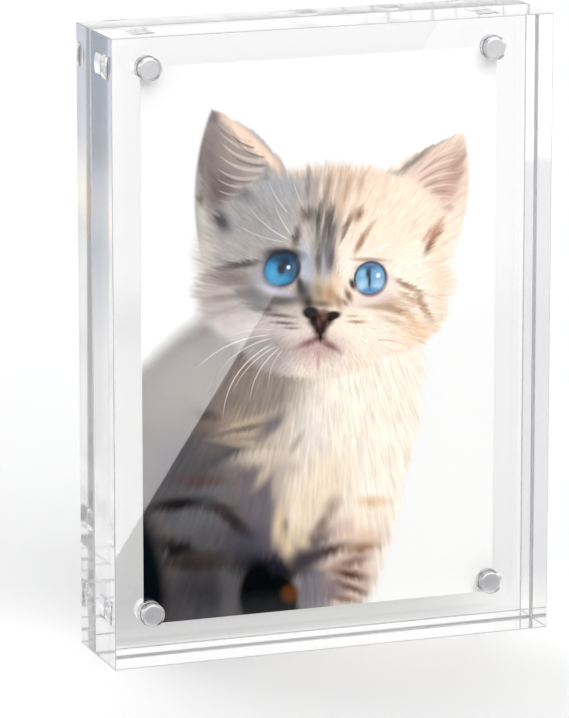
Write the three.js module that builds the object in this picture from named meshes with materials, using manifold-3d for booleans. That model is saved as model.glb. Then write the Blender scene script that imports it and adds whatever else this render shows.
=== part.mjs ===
// Acrylic block photo frame: two clear blocks held face to face by four pairs
// of magnets, with one print lying between them.
// Millimetres. X is to the right seen from the front, the front looks along -Y,
// and Z is up. The origin is in the middle of the footprint, on the table.

import * as THREE from "three";
import { mergeVertices } from "three/addons/utils/BufferGeometryUtils.js";
import Module from "manifold-3d";

const wasm = await Module();
wasm.setup();

// The print, a 4 x 6 inch photograph on paper.
const printWidth = 101.6;
const printHeight = 152.4;
const printThickness = 0.25;

// Clear acrylic that shows around the print.
const sideBorder = 11.7;
const endBorder = 9.3;

// The blocks' thicknesses, front to back, and the polished bevel along their edges.
const frontThickness = 17.5;
const rearThickness = 11.8;
const edgeBevel = 0.5;

// Air on each side of the print when the frame is closed, and how far below the
// middle of the blocks the loose print lies.
const printClearance = 0.1;
const printDrop = 0.7;

// Cylindrical magnets, one in each corner of each block.
const magnetDiameter = 6.35;
const magnetLength = 5;
const magnetBevel = 0.45;

// How far a magnet's centre lies inside the two nearest edges of a print in the
// middle of the blocks, and how far all the magnets are set above that.
const magnetReach = 1.7;
const magnetLift = 0.9;

// Each magnet sits a little below its block's inner face, in a pocket that has
// room for glue around it and at the bottom.
const magnetSink = 0.05;
const pocketClearance = 0.08;
const pocketFloor = 0.1;

// Flats around a magnet and around its pocket.
const roundSegments = 48;

// What follows from the sizes above.
const blockWidth = printWidth + 2 * sideBorder;
const blockHeight = printHeight + 2 * endBorder;
const blockGap = printThickness + 2 * printClearance;
const middleHeight = blockHeight / 2;
const seamY = (frontThickness - rearThickness) / 2;
const magnetX = printWidth / 2 - magnetReach;
const magnetZ = printHeight / 2 - magnetReach;
const pocketRadius = magnetDiameter / 2 + pocketClearance;
const pocketDepth = magnetSink + magnetLength + pocketFloor;

// The front half lies towards -Y and the rear half towards +Y of the seam.
const halves = [
  { name: "front", side: -1, thickness: frontThickness },
  { name: "rear", side: 1, thickness: rearThickness },
];

// The magnets' places from the middle of a block.
const corners = [
  { name: "top_left", x: -magnetX, z: magnetLift + magnetZ },
  { name: "top_right", x: magnetX, z: magnetLift + magnetZ },
  { name: "bottom_left", x: -magnetX, z: magnetLift - magnetZ },
  { name: "bottom_right", x: magnetX, z: magnetLift - magnetZ },
];

const acrylic = new THREE.MeshStandardMaterial({
  color: 0xf1f6f7,
  roughness: 0.03,
  metalness: 0,
  transparent: true,
  opacity: 0.3,
});

const nickel = new THREE.MeshStandardMaterial({
  color: 0xc4c4c8,
  roughness: 0.28,
  metalness: 1,
});

const photoPaper = new THREE.MeshStandardMaterial({
  color: 0xf3efe9,
  roughness: 0.45,
  metalness: 0,
});

// A closed solid for cutting, from any three.js geometry.
function toSolid(geometry) {
  const bare = geometry.clone();
  bare.deleteAttribute("normal");
  bare.deleteAttribute("uv");
  const merged = mergeVertices(bare, 1e-4);
  const mesh = new wasm.Mesh({
    numProp: 3,
    vertProperties: new Float32Array(merged.attributes.position.array),
    triVerts: new Uint32Array(merged.index.array),
  });
  return new wasm.Manifold(mesh);
}

// The cut solid as a three.js geometry again.
function toGeometry(solid) {
  const mesh = solid.getMesh();
  const geometry = new THREE.BufferGeometry();
  geometry.setAttribute("position", new THREE.BufferAttribute(mesh.vertProperties, 3));
  geometry.setIndex(new THREE.BufferAttribute(mesh.triVerts, 1));
  geometry.computeVertexNormals();
  return geometry;
}

// A rectangle centred on the origin whose corners are cut off at 45 degrees.
function bevelledRectangle(width, height, cut) {
  const x = width / 2;
  const y = height / 2;
  const shape = new THREE.Shape();
  shape.moveTo(-x + cut, -y);
  shape.lineTo(x - cut, -y);
  shape.lineTo(x, -y + cut);
  shape.lineTo(x, y - cut);
  shape.lineTo(x - cut, y);
  shape.lineTo(-x + cut, y);
  shape.lineTo(-x, y - cut);
  shape.lineTo(-x, -y + cut);
  shape.closePath();
  return shape;
}

// A block with every edge bevelled, centred on the origin, its thickness on Y.
function slabGeometry(thickness) {
  const outline = bevelledRectangle(blockWidth - 2 * edgeBevel, blockHeight - 2 * edgeBevel, edgeBevel);
  const geometry = new THREE.ExtrudeGeometry(outline, {
    depth: thickness - 2 * edgeBevel,
    bevelEnabled: true,
    bevelThickness: edgeBevel,
    bevelSize: edgeBevel,
    bevelSegments: 1,
  });
  geometry.translate(0, 0, edgeBevel - thickness / 2);
  geometry.rotateX(Math.PI / 2);
  return geometry;
}

// One clear block with its four blind pockets in the face that meets the print.
function blockMesh(half) {
  let solid = toSolid(slabGeometry(half.thickness));
  const innerFace = -half.side * half.thickness / 2;
  for (const corner of corners) {
    const pocket = new THREE.CylinderGeometry(pocketRadius, pocketRadius, 2 * pocketDepth, roundSegments);
    pocket.translate(corner.x, innerFace, corner.z);
    solid = solid.subtract(toSolid(pocket));
  }
  const mesh = new THREE.Mesh(toGeometry(solid), acrylic.clone());
  mesh.name = `${half.name}_block`;
  mesh.position.set(0, seamY + half.side * (blockGap + half.thickness) / 2, middleHeight);
  return mesh;
}

// One plated magnet, turned about Y, from its inner end at y = 0 outwards.
function magnetGeometry(half) {
  const radius = magnetDiameter / 2;
  const profile = [
    new THREE.Vector2(0, 0),
    new THREE.Vector2(radius - magnetBevel, 0),
    new THREE.Vector2(radius, magnetBevel),
    new THREE.Vector2(radius, magnetLength - magnetBevel),
    new THREE.Vector2(radius - magnetBevel, magnetLength),
    new THREE.Vector2(0, magnetLength),
  ];
  const geometry = new THREE.LatheGeometry(profile, roundSegments);
  if (half.side < 0) {
    geometry.rotateX(Math.PI);
  }
  return geometry;
}

// A magnet in its pocket, its inner end just below the block's inner face.
function magnetMesh(half, corner) {
  const mesh = new THREE.Mesh(magnetGeometry(half), nickel.clone());
  mesh.name = `${half.name}_magnet_${corner.name}`;
  const innerEnd = seamY + half.side * (blockGap / 2 + magnetSink);
  mesh.position.set(corner.x, innerEnd, middleHeight + corner.z);
  return mesh;
}

// The sheet between the blocks.
function printMesh() {
  const geometry = new THREE.BoxGeometry(printWidth, printThickness, printHeight);
  const mesh = new THREE.Mesh(geometry, photoPaper.clone());
  mesh.name = "photo_print";
  mesh.position.set(0, seamY, middleHeight - printDrop);
  return mesh;
}

const photoFrame = new THREE.Group();
for (const half of halves) {
  photoFrame.add(blockMesh(half));
  for (const corner of corners) {
    photoFrame.add(magnetMesh(half, corner));
  }
}
photoFrame.add(printMesh());

export default photoFrame;
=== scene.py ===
import math

import bpy
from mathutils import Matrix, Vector


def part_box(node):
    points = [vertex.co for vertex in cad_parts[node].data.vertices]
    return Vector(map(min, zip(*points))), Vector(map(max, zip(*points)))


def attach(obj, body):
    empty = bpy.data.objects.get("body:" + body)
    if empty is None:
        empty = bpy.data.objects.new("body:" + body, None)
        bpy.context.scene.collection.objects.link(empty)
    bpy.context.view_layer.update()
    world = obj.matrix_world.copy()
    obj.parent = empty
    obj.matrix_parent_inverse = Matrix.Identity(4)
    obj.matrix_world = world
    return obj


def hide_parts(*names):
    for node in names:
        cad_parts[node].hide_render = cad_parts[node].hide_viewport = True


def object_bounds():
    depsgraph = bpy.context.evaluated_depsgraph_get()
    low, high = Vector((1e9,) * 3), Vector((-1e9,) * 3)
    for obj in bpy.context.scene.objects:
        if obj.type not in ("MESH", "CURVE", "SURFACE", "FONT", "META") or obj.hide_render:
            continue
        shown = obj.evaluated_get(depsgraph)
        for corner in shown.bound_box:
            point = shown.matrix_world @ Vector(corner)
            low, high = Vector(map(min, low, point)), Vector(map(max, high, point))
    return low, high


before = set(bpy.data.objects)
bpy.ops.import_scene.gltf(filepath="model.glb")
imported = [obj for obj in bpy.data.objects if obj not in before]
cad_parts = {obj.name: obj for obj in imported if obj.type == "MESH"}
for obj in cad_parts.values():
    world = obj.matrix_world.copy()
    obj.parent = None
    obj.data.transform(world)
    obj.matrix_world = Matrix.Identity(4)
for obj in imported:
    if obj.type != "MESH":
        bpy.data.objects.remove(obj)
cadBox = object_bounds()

# An acrylic block photo frame: two clear blocks, eight magnets and a print between them.
# Metres. X is to the right, the front looks along -Y, Z is up, and the floor is at 0.
mm = 0.001
tiny = 0.01 * mm        # how far off an edge or face may lie when it is looked for by its place


# Shader maths

class Shade:
    # Wraps one output of a node, so that shader maths reads as Python.
    def __init__(self, tree, socket=None):
        self.tree = tree
        self.socket = socket

    def node(self, kind, settings=None, values=None, output=0):
        node = self.tree.nodes.new(kind)
        for name, setting in (settings or {}).items():
            if name == "stops":
                setStops(node.color_ramp, setting)
            else:
                setattr(node, name, setting)
        sockets = [s for s in node.inputs if s.enabled]
        for name, value in (values or {}).items():
            socket = sockets[name] if isinstance(name, int) else named(sockets, name)
            if isinstance(value, Shade):
                self.tree.links.new(value.socket, socket)
            else:
                socket.default_value = value
        outputs = [s for s in node.outputs if s.enabled]
        if not outputs:
            return None
        return Shade(self.tree, outputs[output] if isinstance(output, int) else named(outputs, output))

    def maths(self, operation, *others):
        return self.node("ShaderNodeMath", {"operation": operation}, dict(enumerate((self,) + others)))

    def __add__(self, other):
        return self.maths("ADD", other)

    __radd__ = __add__

    def __sub__(self, other):
        return self.maths("SUBTRACT", other)

    def __rsub__(self, other):
        return self.node("ShaderNodeMath", {"operation": "SUBTRACT"}, {0: other, 1: self})

    def __mul__(self, other):
        return self.maths("MULTIPLY", other)

    __rmul__ = __mul__

    def __truediv__(self, other):
        return self.maths("DIVIDE", other)

    def __abs__(self):
        return self.maths("ABSOLUTE")

    def __lt__(self, other):
        return self.maths("LESS_THAN", other)

    def __gt__(self, other):
        return self.maths("GREATER_THAN", other)


def named(sockets, name):
    return [s for s in sockets if s.name == name][0]


def setStops(ramp, stops):
    while len(ramp.elements) < len(stops):
        ramp.elements.new(1.0)
    for element, (place, colour) in zip(ramp.elements, stops):
        element.position = place
        element.color = (*colour, 1.0)


def newMaterial(name):
    material = bpy.data.materials.new(name)
    material.use_nodes = True
    material.node_tree.nodes.clear()
    return material, Shade(material.node_tree)


def ownPoint(shade):
    # The piece's own coordinates in metres.
    return shade.node("ShaderNodeTexCoord", output="Object")


def parts(point, *axes):
    # Single coordinates of a point: 0 for x, 1 for y and 2 for z.
    return [point.node("ShaderNodeSeparateXYZ", values={0: point}, output=axis) for axis in axes]


def noise(point, scale, detail=2.0, roughness=0.5, stretch=(1, 1, 1)):
    if stretch != (1, 1, 1):
        point = point.node("ShaderNodeMapping", values={"Vector": point, "Scale": stretch})
    values = {"Vector": point, "Scale": scale, "Detail": detail, "Roughness": roughness}
    return point.node("ShaderNodeTexNoise", values=values)


def step(value, low, high, top=1.0):
    # 0 below low, top above high, and smooth between them.
    settings = {"interpolation_type": "SMOOTHSTEP", "clamp": False}
    return value.node("ShaderNodeMapRange", settings, {0: value, 1: low, 2: high, 3: 0.0, 4: top})


def colourMix(factor, under, over):
    under, over = [c if isinstance(c, Shade) else (*c, 1.0) for c in (under, over)]
    values = {"Factor": factor, "A": under, "B": over}
    return factor.node("ShaderNodeMix", {"data_type": "RGBA"}, values)


def bump(height, strength, distance):
    values = {"Height": height, "Strength": strength, "Distance": distance}
    return height.node("ShaderNodeBump", values=values)


def surface(shade, shader):
    shade.node("ShaderNodeOutputMaterial", values={"Surface": shader})


# Modelling helpers

def nothingSelected():
    if bpy.context.object and bpy.context.object.mode != "OBJECT":
        bpy.ops.object.mode_set(mode="OBJECT")
    bpy.ops.object.select_all(action="DESELECT")


def only(piece):
    nothingSelected()
    piece.select_set(True)
    bpy.context.view_layer.objects.active = piece


def settle(piece):
    # The place, turn and size go into the mesh.
    only(piece)
    bpy.ops.object.transform_apply(location=True, rotation=True, scale=True)


def applied(piece, kind, name, **settings):
    only(piece)
    modifier = piece.modifiers.new(name, kind)
    for setting, value in settings.items():
        setattr(modifier, setting, value)
    bpy.ops.object.modifier_apply(modifier=name)


def selectEdges(piece, wanted):
    # Goes into edit mode with the edges selected whose two ends pass the test.
    only(piece)
    bpy.ops.object.mode_set(mode="EDIT")
    bpy.ops.mesh.select_all(action="DESELECT")
    bpy.ops.mesh.select_mode(type="EDGE")
    bpy.ops.object.mode_set(mode="OBJECT")
    vertices = piece.data.vertices
    for edge in piece.data.edges:
        edge.select = wanted(*[vertices[i].co for i in edge.vertices])
    bpy.ops.object.mode_set(mode="EDIT")


def selectFaces(piece, wanted):
    only(piece)
    bpy.ops.object.mode_set(mode="EDIT")
    bpy.ops.mesh.select_all(action="DESELECT")
    bpy.ops.mesh.select_mode(type="FACE")
    bpy.ops.object.mode_set(mode="OBJECT")
    for face in piece.data.polygons:
        face.select = wanted(face)
    bpy.ops.object.mode_set(mode="EDIT")


def cuboid(name, low, high):
    nothingSelected()
    bpy.ops.mesh.primitive_cube_add(size=1, location=(low + high) / 2, scale=high - low)
    piece = bpy.context.object
    piece.name = name
    piece.data.name = name
    settle(piece)
    return piece


def roundedLook(piece):
    # Smooth rounded edges between truly flat faces.
    only(piece)
    bpy.ops.object.shade_smooth()
    applied(piece, "WEIGHTED_NORMAL", "flat faces", mode="FACE_AREA", weight=100, keep_sharp=False)


# The acrylic blocks

block = {
    "outerRound": 0.22 * mm,    # rounding of the outer edges
    "seamRound": 0.5 * mm,      # rounding of the edges along the seam
    "roundSteps": 4,
    "pocketClearance": 0.08 * mm,
    "pocketFloor": 0.1 * mm,
    "pocketFlare": 0.15 * mm,   # small countersink at the mouth of a pocket
    "pocketSides": 96,
}

halves = ("front", "rear")
corners = ("top_left", "top_right", "bottom_left", "bottom_right")


def magnetBoxes(half):
    return [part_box(f"{half}_magnet_{corner}") for corner in corners]


def pocketCutter(low, high, faceY, outward):
    # A drill of the pocket's shape. outward is -1 where the block's mouth looks along -Y.
    middle = (low + high) / 2
    radius = (high.x - low.x) / 2 + block["pocketClearance"]
    floorY = (low.y if outward > 0 else high.y) - outward * block["pocketFloor"]
    depth = abs(faceY - floorY)
    nothingSelected()
    bpy.ops.mesh.primitive_cylinder_add(
        vertices=block["pocketSides"], radius=radius, depth=depth,
        location=(middle.x, (faceY + floorY) / 2, middle.z), rotation=(math.pi / 2, 0, 0),
    )
    cutter = bpy.context.object
    settle(cutter)
    selectFaces(cutter, lambda face: face.normal.y * outward > 0.9)
    flare = block["pocketFlare"]
    bpy.ops.transform.translate(value=(0, -outward * flare, 0))
    bpy.ops.mesh.extrude_region_move(TRANSFORM_OT_translate={"value": (0, outward * 2 * flare, 0)})
    grow = (radius + 2 * flare) / radius
    bpy.ops.transform.resize(value=(grow, 1, grow), center_override=(middle.x, faceY, middle.z))
    bpy.ops.object.mode_set(mode="OBJECT")
    return cutter


def makeBlock(half):
    node = f"{half}_block"
    low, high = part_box(node)
    outward = 1 if half == "front" else -1
    seamY = high.y if half == "front" else low.y
    piece = cuboid(f"{half}_acrylic", low, high)
    selectEdges(piece, lambda a, b: abs(a.y - seamY) < tiny and abs(b.y - seamY) < tiny)
    bpy.ops.mesh.bevel(offset=block["seamRound"], segments=block["roundSteps"], profile=0.5)
    inside = block["seamRound"] + tiny
    selectEdges(piece, lambda a, b: outerEdge(a, b, low, high, seamY, inside))
    bpy.ops.mesh.bevel(offset=block["outerRound"], segments=block["roundSteps"], profile=0.5)
    bpy.ops.object.mode_set(mode="OBJECT")
    for magnetLow, magnetHigh in magnetBoxes(half):
        cutter = pocketCutter(magnetLow, magnetHigh, seamY, outward)
        applied(piece, "BOOLEAN", "pocket", operation="DIFFERENCE", solver="EXACT", object=cutter)
        bpy.data.objects.remove(cutter)
    roundedLook(piece)
    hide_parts(node)
    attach(piece, f"{half}_half")
    return piece


def outerEdge(a, b, low, high, seamY, inside):
    # A sharp edge of the box that isn't part of the rounded seam.
    middle = (a + b) / 2
    faces = 0
    for axis in range(3):
        at = min(abs(middle[axis] - low[axis]), abs(middle[axis] - high[axis]))
        faces += at < tiny
    along = (b - a).length
    return faces >= 2 and along > inside and abs(middle.y - seamY) > tiny


acrylic = {
    "colour": (0.976, 0.976, 0.974),
    "shadow": (0.99, 0.99, 0.985),  # what a block lets through of a lamp's light
    "index": 1.49,
    "haze": 70,
    "wave": 45,
    "waveHeight": 0.2 * mm,
}

# The eased outer edges and the rounded edges along the seam: a satin finish whose grey colour is painted
# shade, so that they read as dark lines. Here and below, a relief is a bump's strength and height, and
# grain, drag, haze and the like say how fine a texture is.
satinEdgeAndShade = {
    # painted shade: this grey darkens the edges
    "colour": (0.55, 0.55, 0.56),
    "rough": 0.3,
    "clear": 0.55,
    "grain": 1500,
    "drag": 260,
    "relief": (0.08, 0.03 * mm),
}


def satinAndShadeMaterial():
    material, shade = newMaterial("satin acrylic edge with painted shade")
    point = ownPoint(shade)
    grain = noise(point, satinEdgeAndShade["grain"], 3.0)
    drag = noise(point, satinEdgeAndShade["drag"], 2.0)
    normal = bump(grain + drag, *satinEdgeAndShade["relief"])
    satin = shade.node("ShaderNodeBsdfPrincipled", values={
        "Base Color": (*satinEdgeAndShade["colour"], 1), "Roughness": satinEdgeAndShade["rough"] + grain * 0.1,
        "IOR": acrylic["index"], "Transmission Weight": satinEdgeAndShade["clear"], "Normal": normal,
    })
    surface(shade, satin)
    return material


# The cast faces are flat with a trace of haze. The sawn and polished edges are a little softer and wavy.
finishes = {
    "cast face": {"rough": 0.0, "haze": 0.003, "wave": 0.02},
    "polished edge": {"rough": 0.06, "haze": 0.03, "wave": 0.05},
}


def acrylicMaterial(name):
    finish = finishes[name]
    material, shade = newMaterial(f"clear acrylic {name}")
    point = ownPoint(shade)
    haze = noise(point, acrylic["haze"], 3.0)
    wave = noise(point, acrylic["wave"], 1.0, stretch=(1, 0.4, 1))
    roughness = step(haze, 0.5, 0.9) * finish["haze"] + finish["rough"]
    normal = bump(wave, finish["wave"], acrylic["waveHeight"])
    glass = shade.node("ShaderNodeBsdfPrincipled", values={
        "Base Color": (*acrylic["colour"], 1), "Roughness": roughness, "IOR": acrylic["index"],
        "Transmission Weight": 1.0, "Normal": normal,
    })
    clear = shade.node("ShaderNodeBsdfTransparent", values={"Color": (*acrylic["shadow"], 1)})
    lampRay = shade.node("ShaderNodeLightPath", output="Is Shadow Ray")
    softRay = shade.node("ShaderNodeLightPath", output="Is Diffuse Ray")
    passing = lampRay.maths("MAXIMUM", softRay)
    surface(shade, shade.node("ShaderNodeMixShader", values={0: passing, 1: glass, 2: clear}))
    return material


def finishOf(face, low, high):
    # 0 for a cast face or a pocket, 1 for a satin edge with painted grey shade, 2 for a polished edge.
    away = [min(face.center[i] - low[i], high[i] - face.center[i]) for i in range(3)]
    reach = 1.02 * block["seamRound"]
    square = max(abs(part) for part in face.normal) > 0.999
    if not square and sorted(away)[1] < reach:
        return 1
    return 2 if square and abs(face.normal.y) < 0.1 and min(away[0], away[2]) < tiny else 0


blockFinishes = [acrylicMaterial("cast face"), satinAndShadeMaterial(), acrylicMaterial("polished edge")]
for half in halves:
    piece = makeBlock(half)
    for material in blockFinishes:
        piece.data.materials.append(material)
    low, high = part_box(f"{half}_block")
    for face in piece.data.polygons:
        face.material_index = finishOf(face, low, high)
print("blocks made")


# The magnets

magnet = {
    "rimRound": 0.9 * mm,
    "rimSteps": 6,
    "sides": 96,
    "darkPlating": (0.62, 0.62, 0.64),
    "lightPlating": (0.74, 0.74, 0.75),
    "rough": 0.24,
    "grain": 900,
    "cloud": 160,
    "relief": (0.12, 0.05 * mm),
}


def makeMagnet(half, corner):
    node = f"{half}_magnet_{corner}"
    low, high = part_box(node)
    nothingSelected()
    bpy.ops.mesh.primitive_cylinder_add(
        vertices=magnet["sides"], radius=(high.x - low.x) / 2, depth=high.y - low.y,
        location=(low + high) / 2, rotation=(math.pi / 2, 0, 0),
    )
    piece = bpy.context.object
    piece.name = f"{half}_magnet_{corner}_plated"
    settle(piece)
    selectEdges(piece, lambda a, b: abs(a.y - b.y) < tiny)
    bpy.ops.mesh.bevel(offset=magnet["rimRound"], segments=magnet["rimSteps"], profile=0.5)
    bpy.ops.object.mode_set(mode="OBJECT")
    roundedLook(piece)
    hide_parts(node)
    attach(piece, f"{half}_half")
    return piece


def nickelMaterial():
    material, shade = newMaterial("satin nickel plating")
    point = ownPoint(shade)
    grain = noise(point, magnet["grain"], 3.0, 0.6)
    cloud = noise(point, magnet["cloud"], 2.0)
    colour = colourMix(cloud, magnet["darkPlating"], magnet["lightPlating"])
    roughness = magnet["rough"] + grain * 0.1
    metal = shade.node("ShaderNodeBsdfPrincipled", values={
        "Base Color": colour, "Metallic": 1.0, "Roughness": roughness,
        "Normal": bump(grain, *magnet["relief"]),
    })
    surface(shade, metal)
    return material


nickel = nickelMaterial()
for half in halves:
    for corner in corners:
        makeMagnet(half, corner).data.materials.append(nickel)
print("magnets made")


# The print

paper = {
    "edgeRound": 0.06 * mm,
    "edgeSteps": 3,
    "darkFibre": (0.86, 0.86, 0.85),
    "lightFibre": (0.93, 0.93, 0.92),
    "backRough": 0.6,
    "pictureRough": 0.5,
    "fibre": 700,
    "relief": (0.15, 0.03 * mm),
}


def makePrint():
    low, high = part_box("photo_print")
    piece = cuboid("photo_sheet", low, high)
    selectEdges(piece, lambda a, b: True)
    bpy.ops.mesh.bevel(offset=paper["edgeRound"], segments=paper["edgeSteps"], profile=0.5)
    bpy.ops.object.mode_set(mode="OBJECT")
    roundedLook(piece)
    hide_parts("photo_print")
    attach(piece, "print")
    return piece


def paperMaterial():
    material, shade = newMaterial("photo paper back")
    point = ownPoint(shade)
    fibre = noise(point, paper["fibre"], 4.0, 0.6)
    colour = colourMix(fibre, paper["darkFibre"], paper["lightFibre"])
    sheet = shade.node("ShaderNodeBsdfPrincipled", values={
        "Base Color": colour, "Roughness": paper["backRough"] + fibre * 0.1,
        "Normal": bump(fibre, *paper["relief"]),
    })
    surface(shade, sheet)
    return material


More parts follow.
